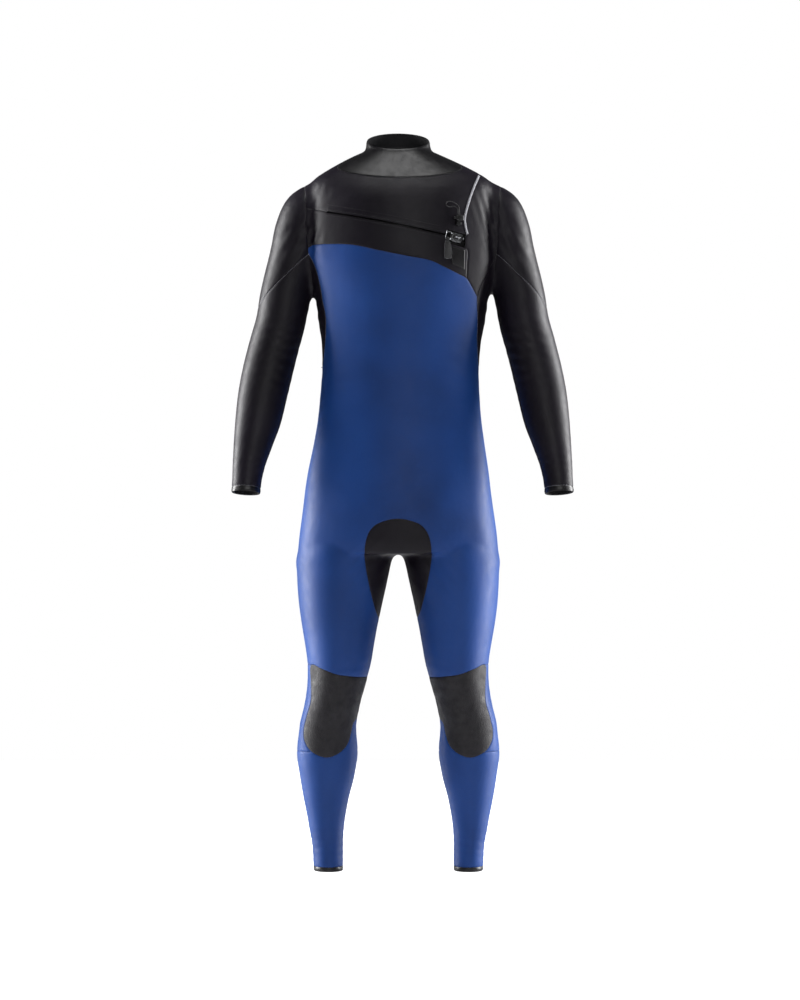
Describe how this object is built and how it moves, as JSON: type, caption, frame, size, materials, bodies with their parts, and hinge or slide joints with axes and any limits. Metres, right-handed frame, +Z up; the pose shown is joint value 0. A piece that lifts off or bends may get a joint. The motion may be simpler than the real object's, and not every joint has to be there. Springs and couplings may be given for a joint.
{
  "type": "full wetsuit",
  "caption": "Chest-zip full wetsuit with long sleeves, contrast body panels, textured knee pads, flap with drawcord lock and a diagonal chest zip.",
  "frame": {"origin": "centre of the neck opening's rim, where the suit hangs from its wearer", "axes": "+Z up along the body, the longest way; front faces -Y; +X is the wearer's left"},
  "size_m": [0.6798, 0.247, 1.4806],
  "materials": {
    "blue_jersey": "knitted nylon jersey on neoprene",
    "black_jersey": "knitted nylon jersey on neoprene",
    "smooth_skin": "smooth skin neoprene",
    "knee_rubber": "embossed abrasion-proof knee rubber",
    "edge_binding": "light woven binding",
    "zip_tape": "woven polyester",
    "black_plastic": "moulded acetal",
    "slider_metal": "satin nickel plate",
    "tab_webbing": "woven nylon webbing"
  },
  "bodies": {
    "root": {"neck_collar": "smooth_skin", "entry_yoke": "black_jersey", "left_shoulder_panel": "black_jersey", "lower_chest_panel": "black_jersey", "front_body_panel": "blue_jersey", "back_yoke": "black_jersey", "back_body_panel": "blue_jersey", "left_side_panel": "black_jersey", "right_side_panel": "black_jersey", "crotch_gusset": "black_jersey", "left_upper_sleeve": "black_jersey", "left_elbow_panel": "black_jersey", "left_knee_pad": "knee_rubber", "left_knee_back_panel": "blue_jersey", "right_upper_sleeve": "black_jersey", "right_elbow_panel": "black_jersey", "right_knee_pad": "knee_rubber", "right_knee_back_panel": "blue_jersey", "flap_edge_binding": "edge_binding", "zip_end_patch": "smooth_skin", "zip_tape_upper": "zip_tape", "zip_tape_lower": "zip_tape", "zip_teeth_upper": "black_plastic", "zip_teeth_lower": "black_plastic", "zip_facing_upper": "smooth_skin", "zip_facing_lower": "smooth_skin", "zip_retainer_box": "black_plastic", "zip_end_stop": "slider_metal", "inner_water_barrier": "smooth_skin", "cord_guide": "black_plastic", "drawcord_loop": "zip_tape"},
    "zip_slider": {"zip_slider": "slider_metal"},
    "zip_puller": {"zip_puller": "black_plastic", "pull_ring": "slider_metal"},
    "pull_tab": {"pull_tab": "tab_webbing"},
    "cord_lock": {"cord_lock_body": "black_plastic", "cord_lock_spring": "slider_metal"},
    "lock_button": {"cord_lock_plunger": "black_plastic"},
    "left_forearm": {"left_forearm_panel": "black_jersey", "left_wrist_cuff": "smooth_skin"},
    "left_lower_leg": {"left_shin_panel": "blue_jersey", "left_calf_panel": "blue_jersey", "left_ankle_cuff": "smooth_skin"},
    "right_forearm": {"right_forearm_panel": "black_jersey", "right_wrist_cuff": "smooth_skin"},
    "right_lower_leg": {"right_shin_panel": "blue_jersey", "right_calf_panel": "blue_jersey", "right_ankle_cuff": "smooth_skin"}
  },
  "joints": [
    {"name": "zip_slider_travel", "type": "hinge", "parent": "root", "child": "zip_slider", "pos_m": [0.00537, 0.15965, -0.179], "axis": [-0.1994, 0, -0.9799], "range_deg": [0, 52], "deforming": ["zip_teeth_upper", "zip_teeth_lower"]},
    {"name": "zip_puller_swing", "type": "hinge", "parent": "zip_slider", "child": "zip_puller", "pos_m": [0.11555, -0.10022, -0.20142], "axis": [0.1994, 0, 0.9799], "range_deg": [0, 100]},
    {"name": "pull_tab_swing", "type": "hinge", "parent": "zip_puller", "child": "pull_tab", "pos_m": [0.09618, -0.10823, -0.20472], "axis": [-0.898, -0.4003, 0.1827], "range_deg": [0, 80]},
    {"name": "cord_lock_slide", "type": "slide", "parent": "root", "child": "cord_lock", "axis": [0, 0, 1], "range_m": [0, 0.008]},
    {"name": "cord_lock_button", "type": "slide", "parent": "cord_lock", "child": "lock_button", "axis": [0.9128, 0.4084, 0], "range_m": [0, 0.003], "stiffness_N_per_m": 800, "springref_m": -0.001, "deforming": ["cord_lock_spring"]},
    {"name": "left_elbow_flex", "type": "hinge", "parent": "root", "child": "left_forearm", "pos_m": [0.2685, 0.008, -0.428], "axis": [-1, 0, 0], "range_deg": [0, 90], "stiffness_Nm_per_rad": 0.3, "deforming": ["left_elbow_panel"]},
    {"name": "left_knee_flex", "type": "hinge", "parent": "root", "child": "left_lower_leg", "pos_m": [0.1315, 0, -1.13], "axis": [1, 0, 0], "range_deg": [0, 90], "stiffness_Nm_per_rad": 0.5, "deforming": ["left_knee_pad", "left_knee_back_panel"]},
    {"name": "right_elbow_flex", "type": "hinge", "parent": "root", "child": "right_forearm", "pos_m": [-0.2545, 0.008, -0.428], "axis": [-1, 0, 0], "range_deg": [0, 90], "stiffness_Nm_per_rad": 0.3, "deforming": ["right_elbow_panel"]},
    {"name": "right_knee_flex", "type": "hinge", "parent": "root", "child": "right_lower_leg", "pos_m": [-0.134, 0, -1.13], "axis": [1, 0, 0], "range_deg": [0, 90], "stiffness_Nm_per_rad": 0.5, "deforming": ["right_knee_pad", "right_knee_back_panel"]}
  ]
}
